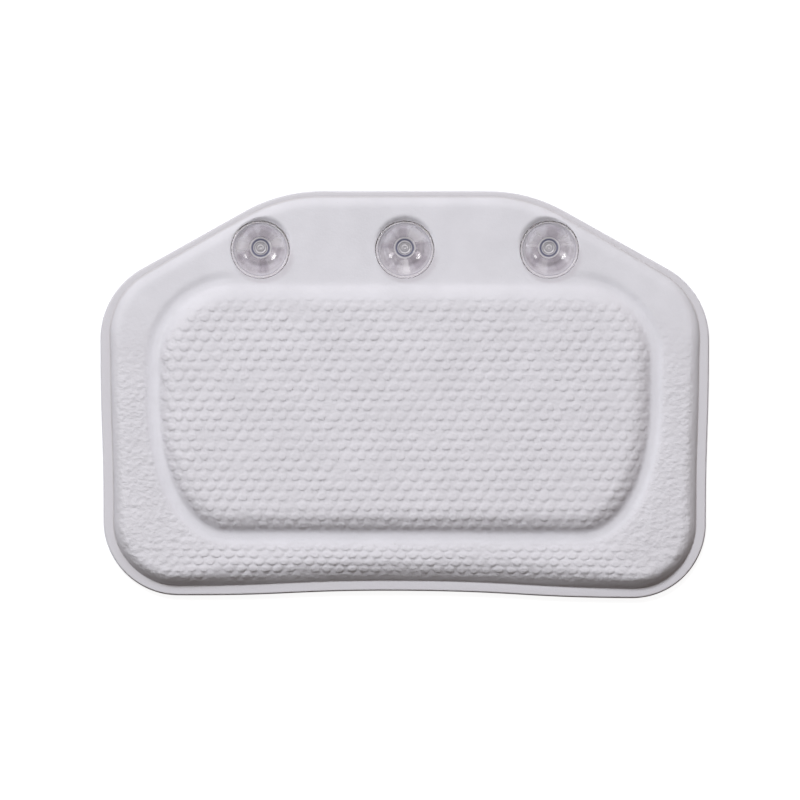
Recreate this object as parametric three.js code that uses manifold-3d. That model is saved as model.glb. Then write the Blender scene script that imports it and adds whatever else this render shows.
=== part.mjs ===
// A bath pillow: two welded skins over a foam wedge, with three clear suction cups near its upper edge.
// Millimetres and degrees, +Z up. The pillow lies on its back, with +X to the right and +Y to the cup edge.
// The origin is at the middle of the outline, on the surface that the back rests on.
import * as THREE from "three";
import { mergeVertices } from "three/addons/utils/BufferGeometryUtils.js";
import Module from "manifold-3d";

// Outline, seen from the front.
const WIDTH = 310; // across the shoulders
const HEIGHT = 206.5; // from the lower corners to the cup edge
const WAIST_STEP = 1.6; // how far each lower corner stays inside the shoulder above it
const LOWER_CORNER_RADIUS = 38;
const BOTTOM_HOLLOW = 3; // how far the lower edge is drawn in at its middle
const SHOULDER_RADIUS = 41;
const CUP_EDGE_FLAT = 84.5; // straight stretch of the cup edge
const CUP_EDGE_RADIUS = 80; // bend at each end of that stretch
const DIAGONAL_ANGLE = 29.2; // fall from the cup edge to each shoulder

// Pad, placed by the border that is left round it.
const CUP_PANEL_DEPTH = 45; // from the cup edge to the channel round the pad
const SIDE_BORDER = 27;
const LOWER_BORDER = 27; // from the drawn-in lower edge to the channel
const PAD_UPPER_RADIUS = 41;
const PAD_LOWER_SWEEP = [40, 74]; // width and height of each swept lower corner
const PAD_SWEEP_EASE = [0.55, 0.67]; // how long its curve stays along the lower edge and along the side
const PAD_UPPER_RISE = 2.7; // above the cup panel, at the upper edge
const PAD_LOWER_RISE = 5.7; // above the crest of the border, at the lower edge
const PAD_UPPER_RUN = 9; // breadth of the rounded edge
const PAD_LOWER_RUN = 15.5;
const GROOVE_DEPTH = 1.8; // of the channel round the pad
const GROOVE_RUN = 7; // from the bottom of the channel to the crest of the border
const GROOVE_FLOOR = 3; // from the bottom of the channel to the foot of the pad

// Border, from the flat lip up to its crest.
const PANEL_RISE = 3.2; // of the cup panel above the lip
const ROLL_RISE = 10; // of the border above the lip at the lower edge
const ROLL_GROWTH = 1.8; // how late the border grows on its way to the lower edge
const PANEL_RUN = 6.4; // breadth of the rounded shoulder
const ROLL_RUN = 15;
const LIP_WIDTH = 5.1;
const CUP_EDGE_LIP_WIDTH = 2.8;
const TRIM_STEP = 0.5; // how far the front sheet is trimmed inside the back sheet
const LIP_TAPER = [0.1, 0.45]; // shares of the height where the lip starts and ends to widen
const RUN_TAPER = [0.05, 0.85]; // the same for the rounded edges
const GROOVE_TAPER = [0.2, 0.5]; // shares of the height where the channel starts and has its full depth
const BORDER_POWER = 2.2; // how steeply each rounded edge starts
const PAD_POWER = 2.3;
const BACK_POWER = 2;

// Sheets and filling.
const WELD_HEIGHT = 5; // of the weld between the sheets, above the rest surface
const FRONT_SKIN = 2.4;
const BACK_SKIN = 1.6;
const LIP_SKIN = 1.6; // front sheet where it is pressed flat in the lip
const BACK_RUN = 18; // breadth of the rounded edge of the back
const SPOT_SKIN = 1.2; // each sheet where it is pressed flat at a cup
const SPOT_RADIUS = 7.5; // of the flat weld round a cup's hole
const BOWL_MARGIN = 2.8; // of the dimple in the front beyond the rim of its cup
const BOWL_FLAT = 0.63; // share of the dimple, from its weld to its brim, that stays level
const CONE_SLOPE = 39; // of the hollow in the back behind a cup
const CORE_GAP = 0.3; // round the filling
const CORE_CUT_MARGIN = 1.5; // of the filling's cut-out round a dimple

// Suction cups, each standing in a weld spot.
const CUP_SPACING = 73;
const CUP_INSET = 27.8; // from the cup edge to the hole
const CUP_DIAMETER = 30;
const CUP_LEAN = 14; // how far a loose cup droops towards the pad
const CUP_HOLLOW = 5.4; // depth of the hollow
const CUP_BULGE = 0.9; // how far the wall bends out of a straight cone
const FLOOR_DIAMETER = 11.2;
const FLOOR_THICKNESS = 2.2;
const RIM_LAND = 0.9; // breadth of the flat sealing ring
const RIM_DEPTH = 0.8;
const BOSS_DIAMETER = 9.6;
const BOSS_HEIGHT = 1; // straight part under the cone
const NECK_DIAMETER = 6;
const HEAD_DIAMETER = 9.6;
const HEAD_HEIGHT = 2.6;
const HEAD_EDGE = 0.7; // straight edge of the head under its dome
const FIT_GAP = 0.3; // between a cup and its weld spot
const FLOOR_GAP = 0.6; // between a head and the rest surface

// Facets.
const FACET_ANGLE = 18;
const FACET_LENGTH = 36;
const SHOULDER_STEPS = [0.15, 0.45, 1]; // shares of the run, from the foot of a rise to its top
const GROOVE_STEPS = [1, 0];
const PAD_STEPS = [0, 0.2, 0.55, 1];
const BACK_STEPS = [0.4, 1];
const BOWL_STEPS = [0, 0.63, 1, 1.2];
const FILL_RINGS = [3, 4, 5, 6, 8, 9]; // the front's rings that its inside follows too
const FINE_ANGLE = 3;
const FINE_LENGTH = 4;
const SPOT_FACETS = 16;
const CUP_FACETS = 36;
const CURVE_STEPS = 5;
const MERGE_DISTANCE = 1e-4;
const ROOT_STEPS = 40;
const CUT_MARGIN = 5; // how far a cutting tool stands out of what it cuts

const { degToRad, lerp, clamp, smoothstep } = THREE.MathUtils;
const wasm = await Module();
wasm.setup();

// Drops the triangles that have no area and shares the corners of the rest.
function closedGeometry(geometry) {
  const bare = geometry.clone();
  bare.deleteAttribute("normal");
  bare.deleteAttribute("uv");
  const merged = mergeVertices(bare, MERGE_DISTANCE);
  const corners = merged.index.array;
  const kept = [];
  for (let at = 0; at < corners.length; at += 3) {
    const [a, b, c] = corners.subarray(at, at + 3);
    if (a !== b && b !== c && c !== a) kept.push(a, b, c);
  }
  merged.setIndex(kept);
  merged.computeVertexNormals();
  return merged;
}

function solidOf(geometry) {
  const closed = closedGeometry(geometry);
  return new wasm.Manifold(new wasm.Mesh({
    numProp: 3,
    vertProperties: new Float32Array(closed.attributes.position.array),
    triVerts: new Uint32Array(closed.index.array),
  }));
}

function geometryOf(solid) {
  const mesh = solid.getMesh();
  const geometry = new THREE.BufferGeometry();
  geometry.setAttribute("position", new THREE.BufferAttribute(new Float32Array(mesh.vertProperties), 3));
  geometry.setIndex(Array.from(mesh.triVerts));
  geometry.computeVertexNormals();
  return geometry;
}

// Turns a profile of [radius, height] pairs, given from its lowest point up, about the Z axis.
function revolve(profile, facets) {
  const points = profile.map(([radius, height]) => new THREE.Vector2(radius, height));
  return new THREE.LatheGeometry(points, facets).rotateX(Math.PI / 2);
}

// Joins rings of equal count into one closed body, from the middle of its underside to that of its top.
function loft(rings) {
  const count = rings[0].length;
  const last = (rings.length - 1) * count;
  const points = rings.flat();
  const middles = [rings[0], rings[rings.length - 1]].map((ring) => {
    const sum = ring.reduce((total, point) => total.add(point), new THREE.Vector3());
    return sum.divideScalar(count);
  });
  const [under, over] = [points.length, points.length + 1];
  const corners = [];
  for (let i = 0; i < count; i += 1) {
    const next = (i + 1) % count;
    corners.push(next, i, under, last + i, last + next, over);
    for (let base = 0; base < last; base += count) {
      corners.push(base + i, base + next, base + count + next);
      corners.push(base + i, base + count + next, base + count + i);
    }
  }
  const geometry = new THREE.BufferGeometry().setFromPoints([...points, ...middles]);
  return geometry.setIndex(corners);
}

// Points along a path from the bottom middle to the top middle, and back down the mirrored side.
function mirroredContour(path, angleStep, lengthStep) {
  const right = [path.curves[0].getPoint(0)];
  path.curves.forEach((curve) => {
    const turn = curve.getTangent(0).angleTo(curve.getTangent(1));
    const parts = [turn / degToRad(angleStep), curve.getLength() / lengthStep];
    const count = Math.max(1, ...parts.map(Math.ceil));
    for (let step = 1; step <= count; step += 1) right.push(curve.getPoint(step / count));
  });
  const left = right.slice(1, -1).reverse();
  return [...right, ...left.map((point) => new THREE.Vector2(-point.x, point.y))];
}

function outlinePath() {
  const [half, top] = [WIDTH / 2, HEIGHT / 2];
  const lowerHalf = half - WAIST_STEP;
  const lowest = lowerHalf - LOWER_CORNER_RADIUS;
  const cornerHeight = LOWER_CORNER_RADIUS - top;
  const normal = degToRad(90 - DIAGONAL_ANGLE);
  const shoulderX = half - SHOULDER_RADIUS;
  const bendX = CUP_EDGE_FLAT / 2;
  const across = (bendX - shoulderX) * Math.cos(normal) + CUP_EDGE_RADIUS - SHOULDER_RADIUS;
  const shoulderY = top - CUP_EDGE_RADIUS + across / Math.sin(normal);
  const sideMiddle = (cornerHeight + shoulderY) / 2;
  const path = new THREE.Path();
  path.moveTo(0, BOTTOM_HOLLOW - top);
  path.bezierCurveTo(lowest / 2, BOTTOM_HOLLOW - top, lowest / 2, -top, lowest, -top);
  path.absarc(lowest, cornerHeight, LOWER_CORNER_RADIUS, -Math.PI / 2, 0);
  path.bezierCurveTo(lowerHalf, sideMiddle, half, sideMiddle, half, shoulderY);
  path.absarc(shoulderX, shoulderY, SHOULDER_RADIUS, 0, normal);
  path.absarc(bendX, top - CUP_EDGE_RADIUS, CUP_EDGE_RADIUS, normal, Math.PI / 2);
  path.lineTo(0, top);
  return path;
}

const padTop = HEIGHT / 2 - CUP_PANEL_DEPTH;
const padBottom = BOTTOM_HOLLOW + LOWER_BORDER - HEIGHT / 2;

function padPath() {
  const half = WIDTH / 2 - SIDE_BORDER;
  const [sweepWidth, sweepHeight] = PAD_LOWER_SWEEP;
  const sweepTop = Math.min(padBottom + sweepHeight, padTop - PAD_UPPER_RADIUS);
  const flat = half - sweepWidth;
  const path = new THREE.Path();
  path.moveTo(0, padBottom);
  path.lineTo(flat, padBottom);
  path.bezierCurveTo(
    lerp(flat, half, PAD_SWEEP_EASE[0]), padBottom,
    half, lerp(sweepTop, padBottom, PAD_SWEEP_EASE[1]),
    half, sweepTop,
  );
  path.absarc(half - PAD_UPPER_RADIUS, padTop - PAD_UPPER_RADIUS, PAD_UPPER_RADIUS, 0, Math.PI / 2);
  path.lineTo(0, padTop);
  return path;
}

// Distance from a point to a closed contour, negative inside it.
function signedDistance(contour, point) {
  const segment = new THREE.Line3();
  const flatPoint = new THREE.Vector3(point.x, point.y, 0);
  const nearest = new THREE.Vector3();
  let best = Infinity;
  let inside = false;
  contour.forEach((from, i) => {
    const to = contour[(i + 1) % contour.length];
    segment.start.set(from.x, from.y, 0);
    segment.end.set(to.x, to.y, 0);
    segment.closestPointToPoint(flatPoint, true, nearest);
    best = Math.min(best, nearest.distanceTo(flatPoint));
    const crosses = (from.y > point.y) !== (to.y > point.y);
    const crossing = from.x + ((point.y - from.y) / (to.y - from.y)) * (to.x - from.x);
    if (crosses && point.x < crossing) inside = !inside;
  });
  return inside ? -best : best;
}

const outline = mirroredContour(outlinePath(), FACET_ANGLE, FACET_LENGTH);
const fineOutline = mirroredContour(outlinePath(), FINE_ANGLE, FINE_LENGTH);
const finePad = mirroredContour(padPath(), FINE_ANGLE, FINE_LENGTH);
const inset = (point) => -signedDistance(fineOutline, point);
const fromPad = (point) => signedDistance(finePad, point);

// Sizes that grow from the cup edge to the lower edge.
const share = (y) => clamp((HEIGHT / 2 - y) / HEIGHT, 0, 1);
const lipWidth = (y) => lerp(CUP_EDGE_LIP_WIDTH, LIP_WIDTH, smoothstep(share(y), ...LIP_TAPER));
const borderRise = (y) => lerp(PANEL_RISE, ROLL_RISE, share(y) ** ROLL_GROWTH);
const borderRun = (y) => lerp(PANEL_RUN, ROLL_RUN, smoothstep(share(y), ...RUN_TAPER));
const padRun = (y) => lerp(PAD_UPPER_RUN, PAD_LOWER_RUN, smoothstep(share(y), ...RUN_TAPER));
const grooveDepth = (y) => GROOVE_DEPTH * smoothstep(share(y), ...GROOVE_TAPER);
const crestHeight = (y) => WELD_HEIGHT + LIP_SKIN + borderRise(y);

// The top of the pad is a flat slope from its upper edge to its lower edge.
function padHeight(y) {
  const lower = crestHeight(padBottom) + PAD_LOWER_RISE;
  const upper = crestHeight(padTop) + PAD_UPPER_RISE;
  return lerp(lower, upper, (y - padBottom) / (padTop - padBottom));
}

// Even shares from 0 to 1.
const steps = (count) => Array.from({ length: count + 1 }, (_, step) => step / count);

// A rounded rise from 0 to 1, steepest at its foot.
const dome = (part, power) => 1 - (1 - clamp(part, 0, 1)) ** power;

function frontHeight(point) {
  const { y } = point;
  const outside = fromPad(point);
  const border = dome((inset(point) - lipWidth(y)) / borderRun(y), BORDER_POWER);
  const groove = Math.cos((clamp(outside / GROOVE_RUN, 0, 1) * Math.PI) / 2) ** 2;
  const base = lerp(WELD_HEIGHT + LIP_SKIN, crestHeight(y), border) - groove * grooveDepth(y);
  return lerp(base, padHeight(y), dome((-outside - GROOVE_FLOOR) / padRun(y), PAD_POWER));
}

function backHeight(point) {
  const edge = dome((inset(point) - lipWidth(point.y)) / BACK_RUN, BACK_POWER);
  return (WELD_HEIGHT - BACK_SKIN) * (1 - edge);
}

// A ring has one point on each spoke from the middle of the pad, where its side function turns positive.
const hub = new THREE.Vector2(0, (padTop + padBottom) / 2);

function ring(spokes, side) {
  return spokes.map((end) => {
    let [inner, outer] = [0, 1];
    for (let step = 0; step < ROOT_STEPS; step += 1) {
      const middle = (inner + outer) / 2;
      if (side(hub.clone().lerp(end, middle)) > 0) outer = middle;
      else inner = middle;
    }
    return hub.clone().lerp(end, outer);
  });
}

const insetRing = (spokes, width) => ring(spokes, (point) => width(point.y) - inset(point));
const padRing = (spokes, width) => ring(spokes, (point) => fromPad(point) + width(point.y));
const raise = (flatRing, height) => flatRing.map(
  (point) => new THREE.Vector3(point.x, point.y, height(point)),
);
const level = (height) => () => height;

// The rings of the front, from its lip to the flat top of the pad.
function frontRings(spokes) {
  const shoulder = SHOULDER_STEPS.map(
    (part) => insetRing(spokes, (y) => lipWidth(y) + part * borderRun(y)),
  );
  const groove = GROOVE_STEPS.map((part) => padRing(spokes, level(-part * GROOVE_RUN)));
  const pad = PAD_STEPS.map((part) => padRing(spokes, (y) => GROOVE_FLOOR + part * padRun(y)));
  return [insetRing(spokes, lipWidth), ...shoulder, ...groove, ...pad];
}

function backRings(spokes) {
  return BACK_STEPS.map((part) => insetRing(spokes, (y) => lipWidth(y) + part * BACK_RUN));
}

// The inside needs half as many spokes as the outside, and no ring on the steep part of a rise.
const innerSpokes = outline.filter((_, i) => i % 2 === 0);
const flatRings = frontRings(innerSpokes).filter((_, i) => FILL_RINGS.includes(i));
const wallRing = insetRing(innerSpokes, (y) => lipWidth(y) + FRONT_SKIN);

// Cup places and the fit of a leaning cup in its weld spot.
const lean = degToRad(CUP_LEAN);
const cupRadius = CUP_DIAMETER / 2;
const cupY = HEIGHT / 2 - CUP_INSET;
const neckReach = (radius) => (SPOT_SKIN + FIT_GAP + radius * Math.sin(lean)) / Math.cos(lean);
const bossFoot = neckReach(BOSS_DIAMETER / 2);
const headTop = neckReach(HEAD_DIAMETER / 2);
const holeRadius = NECK_DIAMETER / 2 / Math.cos(lean) + SPOT_SKIN * Math.tan(lean) + FIT_GAP;
const headReach = (headTop + HEAD_HEIGHT) * Math.cos(lean) + (HEAD_DIAMETER / 2) * Math.sin(lean);
const spotHeight = FLOOR_GAP + headReach;
const bowlRadius = cupRadius + BOWL_MARGIN;
const cups = [["left", -CUP_SPACING], ["middle", 0], ["right", CUP_SPACING]];
const places = cups.map(([, x]) => new THREE.Vector3(x, cupY, 0));

// Everything above a dimple's surface, or above its underside when the sheet's thickness is taken off.
function bowl(place, sheet) {
  const panel = frontHeight(place);
  const floor = spotHeight + SPOT_SKIN;
  const sides = BOWL_STEPS.map((part) => {
    const climb = Math.max(0, (part - BOWL_FLAT) / (1 - BOWL_FLAT));
    const thickness = sheet ? lerp(SPOT_SKIN, FRONT_SKIN, Math.min(climb, 1)) : 0;
    return [lerp(SPOT_RADIUS, bowlRadius, part), lerp(floor, panel, climb) - thickness];
  });
  const top = panel + PAD_LOWER_RISE + CUT_MARGIN;
  const profile = [[0, sides[0][1]], ...sides, [sides.at(-1)[0], top], [0, top]];
  return solidOf(revolve(profile, SPOT_FACETS).translate(place.x, place.y, 0));
}

// The cone that carries the back sheet up to a weld spot, or the hollow under it.
function cone(place, sheet) {
  const foot = sheet ? BACK_SKIN / 2 : -CUT_MARGIN;
  const top = spotHeight - (sheet ? 0 : SPOT_SKIN);
  const topRadius = SPOT_RADIUS + (sheet ? SPOT_SKIN : 0);
  const footRadius = topRadius + (top - foot) / Math.tan(degToRad(CONE_SLOPE));
  const profile = [[0, foot], [footRadius, foot], [topRadius, top], [0, top]];
  return solidOf(revolve(profile, SPOT_FACETS).translate(place.x, place.y, 0));
}

function bore(place, radius) {
  const top = spotHeight + PAD_LOWER_RISE + CUT_MARGIN + PANEL_RISE + ROLL_RISE;
  const profile = [[0, -CUT_MARGIN], [radius, -CUT_MARGIN], [radius, top], [0, top]];
  return solidOf(revolve(profile, SPOT_FACETS).translate(place.x, place.y, 0));
}

function frontSkin() {
  const trim = insetRing(outline, level(TRIM_STEP));
  let sheet = solidOf(loft([
    raise(trim, level(WELD_HEIGHT)),
    raise(trim, level(WELD_HEIGHT + LIP_SKIN)),
    ...frontRings(outline).map((flatRing) => raise(flatRing, frontHeight)),
  ]));
  const under = (point) => frontHeight(point) - FRONT_SKIN;
  let hollow = solidOf(loft([
    raise(wallRing, level(WELD_HEIGHT - CUT_MARGIN)),
    ...[wallRing, ...flatRings].map((flatRing) => raise(flatRing, under)),
  ]));
  places.forEach((place) => {
    sheet = sheet.subtract(bowl(place, false));
    hollow = hollow.subtract(bowl(place, true));
  });
  sheet = sheet.subtract(hollow);
  places.forEach((place) => {
    sheet = sheet.subtract(bore(place, holeRadius));
  });
  return geometryOf(sheet);
}

function backSkin() {
  const rings = [outline, insetRing(outline, lipWidth), ...backRings(outline)];
  const over = (point) => backHeight(point) + BACK_SKIN;
  let sheet = solidOf(loft([
    ...rings.toReversed().map((flatRing) => raise(flatRing, backHeight)),
    ...rings.map((flatRing) => raise(flatRing, over)),
  ]));
  places.forEach((place) => {
    sheet = sheet.add(cone(place, true));
  });
  places.forEach((place) => {
    sheet = sheet.subtract(cone(place, false)).subtract(bore(place, holeRadius));
  });
  return geometryOf(sheet);
}

function foamCore() {
  const top = (point) => frontHeight(point) - FRONT_SKIN - CORE_GAP;
  const under = (point) => backHeight(point) + BACK_SKIN + CORE_GAP;
  const edge = insetRing(innerSpokes, (y) => lipWidth(y) + FRONT_SKIN + CORE_GAP);
  let core = solidOf(loft([
    ...backRings(innerSpokes).toReversed().map((flatRing) => raise(flatRing, under)),
    raise(edge, level(WELD_HEIGHT + CORE_GAP)),
    edge.map((point, i) => new THREE.Vector3(point.x, point.y, top(wallRing[i]))),
    ...flatRings.map((flatRing) => raise(flatRing, top)),
  ]));
  places.forEach((place) => {
    core = core.subtract(bore(place, bowlRadius + CORE_CUT_MARGIN));
  });
  return geometryOf(core);
}

// One moulding about the Z axis, with the middle of its neck at the origin and its hollow facing up.
function suctionCup() {
  const [boss, neck, head] = [BOSS_DIAMETER / 2, NECK_DIAMETER / 2, HEAD_DIAMETER / 2];
  const floorRadius = FLOOR_DIAMETER / 2;
  const floor = bossFoot + BOSS_HEIGHT + FLOOR_THICKNESS;
  const rim = floor + CUP_HOLLOW;
  const crown = steps(CURVE_STEPS).map((part) => {
    const turn = part * Math.PI / 2;
    const height = HEAD_HEIGHT - HEAD_EDGE;
    return [head * Math.sin(turn), -headTop - HEAD_EDGE - height * Math.cos(turn)];
  });
  const wall = (from, to) => steps(CURVE_STEPS).map((part) => [
    lerp(from[0], to[0], part),
    lerp(from[1], to[1], part) - CUP_BULGE * Math.sin(part * Math.PI),
  ]);
  const back = wall([boss, floor - FLOOR_THICKNESS], [cupRadius, rim - RIM_DEPTH]);
  const front = wall([floorRadius, floor], [cupRadius - RIM_LAND, rim]).reverse();
  const profile = [
    ...crown,
    [head, -headTop],
    [neck, -headTop],
    [neck, bossFoot],
    [boss, bossFoot],
    ...back,
    [cupRadius, rim],
    ...front,
    [0, floor],
  ];
  return closedGeometry(revolve(profile, CUP_FACETS));
}

const skinFinish = { color: 0xe4e2e9, roughness: 0.7, metalness: 0 };
const foamFinish = { color: 0xf0e8c8, roughness: 0.95, metalness: 0 };
const cupFinish = { color: 0xd3d6de, roughness: 0.12, metalness: 0, transparent: true, opacity: 0.45 };

function piece(name, geometry, finish) {
  const mesh = new THREE.Mesh(geometry, new THREE.MeshStandardMaterial(finish));
  mesh.name = name;
  return mesh;
}

const pillow = new THREE.Group();
pillow.add(piece("front_skin", frontSkin(), skinFinish));
pillow.add(piece("back_skin", backSkin(), skinFinish));
pillow.add(piece("foam_core", foamCore(), foamFinish));
cups.forEach(([side, x]) => {
  const cup = piece(`suction_cup_${side}`, suctionCup(), cupFinish);
  cup.position.set(x, cupY, spotHeight);
  cup.rotation.x = lean;
  pillow.add(cup);
});

export default pillow;
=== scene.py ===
import math

import bpy
import numpy as np
from mathutils import Matrix, Vector
from mathutils.geometry import delaunay_2d_cdt


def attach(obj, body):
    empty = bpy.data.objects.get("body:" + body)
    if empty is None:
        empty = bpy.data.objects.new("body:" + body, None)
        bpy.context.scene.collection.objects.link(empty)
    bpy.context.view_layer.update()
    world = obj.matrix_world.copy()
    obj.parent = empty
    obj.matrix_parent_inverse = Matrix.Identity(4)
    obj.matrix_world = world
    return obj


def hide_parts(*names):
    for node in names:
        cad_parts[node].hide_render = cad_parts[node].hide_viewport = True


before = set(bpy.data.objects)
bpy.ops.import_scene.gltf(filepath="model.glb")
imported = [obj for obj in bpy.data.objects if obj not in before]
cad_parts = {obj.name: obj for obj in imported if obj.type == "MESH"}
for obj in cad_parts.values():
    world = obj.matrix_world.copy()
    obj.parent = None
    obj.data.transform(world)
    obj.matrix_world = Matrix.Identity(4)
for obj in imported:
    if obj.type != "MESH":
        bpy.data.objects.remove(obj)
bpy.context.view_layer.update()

MM = 0.001

# Outline, seen from the front.
WIDTH = 310.0
HEIGHT = 206.5
WAIST_STEP = 1.6
LOWER_CORNER_RADIUS = 38.0
BOTTOM_HOLLOW = 3.0
SHOULDER_RADIUS = 41.0
CUP_EDGE_FLAT = 84.5
CUP_EDGE_RADIUS = 80.0
DIAGONAL_ANGLE = 29.2

# Pad and the channel round it.
CUP_PANEL_DEPTH = 45.0
SIDE_BORDER = 27.0
LOWER_BORDER = 27.0
PAD_UPPER_RADIUS = 41.0
PAD_SWEEP_WIDTH = 40.0
PAD_SWEEP_HEIGHT = 74.0
PAD_SWEEP_EASE = (0.55, 0.67)
PAD_UPPER_RISE = 2.7
PAD_LOWER_RISE = 5.7
PAD_UPPER_RUN = 9.0
PAD_LOWER_RUN = 13.4
GROOVE_DEPTH = 1.35
GROOVE_RUN = 4.8
ROLL_FALL = 0.8
ROLL_FALL_RUN = 12.0
GROOVE_FLOOR = 3.3

# Border and lip.
PANEL_RISE = 3.2
ROLL_RISE = 10.0
ROLL_GROWTH = 1.8
PANEL_RUN = 6.4
ROLL_RUN = 15.0
CORNER_RUN = 8.5
LIP_WIDTH = 5.1
CUP_EDGE_LIP_WIDTH = 2.8
TRIM_STEP = 0.5
LIP_TAPER = (0.1, 0.45)
BORDER_TAPER = (0.1, 0.85)
PAD_TAPER = (0.05, 0.6)
GROOVE_TAPER = (0.2, 0.5)
GROOVE_EASE = (0.75, 0.9)
GROOVE_EASE_PART = 0.6
CORNER_GROOVE = 0.85
CORNER_GROOVE_REACH = (72.0, 104.0)
ROLL_RUN_REACH = (55.0, 128.0)
BORDER_POWER = 2.35
PAD_POWER = 2.6
BACK_POWER = 2.0

# Sheets, filling and weld spots.
WELD_HEIGHT = 5.0
FRONT_SKIN = 2.4
BACK_SKIN = 1.6
LIP_SKIN = 1.6
BACK_RUN = 18.0
UNDER_SHIFT = 1.0
SPOT_SKIN = 1.2
SPOT_RADIUS = 7.5
BOWL_MARGIN = 2.8
BOWL_FLAT = 0.63
CONE_SLOPE = 39.0
CORE_GAP = 0.5
CORE_CUT_MARGIN = 1.5
CORE_CUT_SLACK = 0.999
FOAM_EDGE_GAP = 0.4
FOAM_INSET = FRONT_SKIN + CORE_GAP + FOAM_EDGE_GAP

# Suction cups.
CUP_SPACING = 73.0
CUP_INSET = 27.8
CUP_DIAMETER = 30.0
CUP_LEAN = 14.0
CUP_HOLLOW = 5.4
CUP_BULGE = 0.9
FLOOR_DIAMETER = 11.2
FLOOR_THICKNESS = 2.2
RIM_DEPTH = 0.8
BEAD_RADIUS = 13.45
BEAD_STEP = 0.5
BOSS_DIAMETER = 9.6
BOSS_HEIGHT = 1.0
NECK_DIAMETER = 6.0
HEAD_DIAMETER = 9.6
HEAD_HEIGHT = 2.6
HEAD_EDGE = 0.7
FIT_GAP = 0.3
FLOOR_GAP = 0.6
EDGE_ROUND = 0.3
NECK_ROUND = 0.4
RIM_ROUND = 0.5
RIM_BEVEL = 0.4
BEAD_ROUND = 0.15
BEAD_FLAT = 0.35
FILLET_LIMIT = 0.48
NUB_RISE = 0.35
NUB_EDGE = (1.2, 1.8)
NUB_PIT = 0.2
NUB_PIT_RADIUS = 0.4
FLOOR_RING_RISE = 0.3
FLOOR_RING_RADIUS = 3.0
FLOOR_RING_HALF = 0.3

# Marks on the cups: cloudiness of the clear vinyl with painted highlights, painted rays of light and shade,
# painted shade round the hub and painted dark rings.
HUB_HAZE = 0.66
COLLAR_PAINTED_HIGHLIGHT = 0.75
COLLAR_RADIUS = 5.3
COLLAR_HALF = 0.3
BEAD_HAZE_AND_HIGHLIGHT = 0.36
CONE_HAZE = 0.05
RAY_PAINTED_HIGHLIGHT = 0.30
HUB_TINT = 0.16
# Strength of the painted shade round the hub.
HUB_SHADE = 0.55
# Waves of the painted rays round a cup and their weights.
RAY_WAVES = ((2, 1.0), (3, 1.0), (5, 0.8), (9, 0.4), (16, 0.3), (29, 0.2))
# Radius, half width and depth of each painted dark ring, where edges and turned rings show dark through the
# clear vinyl.
PAINTED_CUP_RINGS = (
    (4.25, 0.55, 0.95),
    (3.1, 0.22, 0.65),
    (2.0, 0.2, 0.65),
    (0.9, 0.18, 0.6),
    (5.9, 0.16, 0.3),
    (13.3, 0.16, 0.55),
)
RING_FLAT = 1.5
HUB_EDGE = (4.9, 6.0)
BEAD_EDGE = (-0.1, 0.4)
CONE_START = (5.2, 6.0)
CONE_FADE = 11.5
SHADE_START = (4.6, 5.6)
SHADE_FADE = (6.0, 10.0)
RAY_WEIGHTS = (0.6, 1.0)
RAY_GAIN = 1.7

# Softness of the moulded corners, in millimetres.
LIP_FOOT_BLEND = 0.3
PAD_FOOT_BLEND = 1.3
BOWL_BLEND = 0.25
BOWL_CLEAR = 5 * BOWL_BLEND
BOWL_WALL = (11.2, 15.8)
BOWL_MOAT = 1.3
BOWL_MOAT_START = (8.7, 10.7)
CONE_BLEND = 1.2
LIP_EDGE_RADIUS = 0.45
SEAM_DEPTH = 0.3
SEAM_HALF = 0.55
SEAM_OFFSET = 0.2

# Embossed dots, on a lattice that starts at DOT_ORIGIN. Each is a scale with its steep edge below.
DOT_ORIGIN = (1.0, 3.5)
PAD_DOTS = {"pitch": (6.6, 5.04), "half": (2.7, 2.25), "rise": 0.42, "tilt": 0.18, "seed": 12}
BORDER_DOTS = {"pitch": (6.2, 3.7), "half": (2.75, 1.8), "rise": 0.44, "tilt": 0.4, "seed": 14}
DOT_JITTER = 0.22
DOT_EDGE = (0.68, 1.06)
DOT_CROWN = 0.2
DOT_SIZES = (0.9, 1.08)
DOT_STRENGTHS = (0.8, 1.08)
DOT_OVAL = 0.05
DOT_THREE_SIDED = 0.04
DOT_MOAT = 0.24
MOAT_REACH = 1.1
MOAT_HALF = 0.16
MOAT_TOP = 0.4
MOAT_CLEAR = 0.02
DOT_ROWS = 40
DOT_COLUMNS = 30
# Reach and number of the mesh points round a dot.
DOT_RINGS = ((0.0, 1), (0.4, 6), (0.68, 12), (0.87, 16), (1.06, 16), (1.22, 8))
FAINT_SHARE = 0.07
FAINT_STRENGTH = 0.4
LOWER_EDGE_SKEW = 1.0
LOWER_EDGE_SKEW_REACH = (40.0, 100.0)

# Where the emboss shows, and the values that the skin's material reads, among them the painted shade along
# the seam and over the embossed zones.
PAD_DOT_FADE = (0.24, 0.42)
PAD_DOT_RIGHT = (92.0, 116.0)
PAD_DOT_RIGHT_PART = 0.75
PAD_DOT_LOWER = (0.68, 0.79)
PAD_DOT_START = (3.2, 8.0)
PAD_DOT_START_LOWER = 1.1
PAD_DOT_RUN = (1.5, 7.0)
PAD_DOT_RUN_LOWER = 0.8
BORDER_LIP_SIDE = (0.8, 6.5)
BORDER_PAD_SIDE = (1.8, 4.4)
BORDER_DOT_LOW = (70.0, 82.0)
BORDER_DOT_SIDES = (100.0, 132.0)
CREASE_LOW = (40.0, 80.0)
CREASE_DOT_PART = 0.8
LIP_TINT_EDGE = (-0.4, 1.2)
SEAM_PAINTED_SHADE = 0.6
GRAIN_START = (0.24, 0.56)
GRAIN_DOT_PART = 0.5
PAD_GRAIN = 0.42

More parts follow.
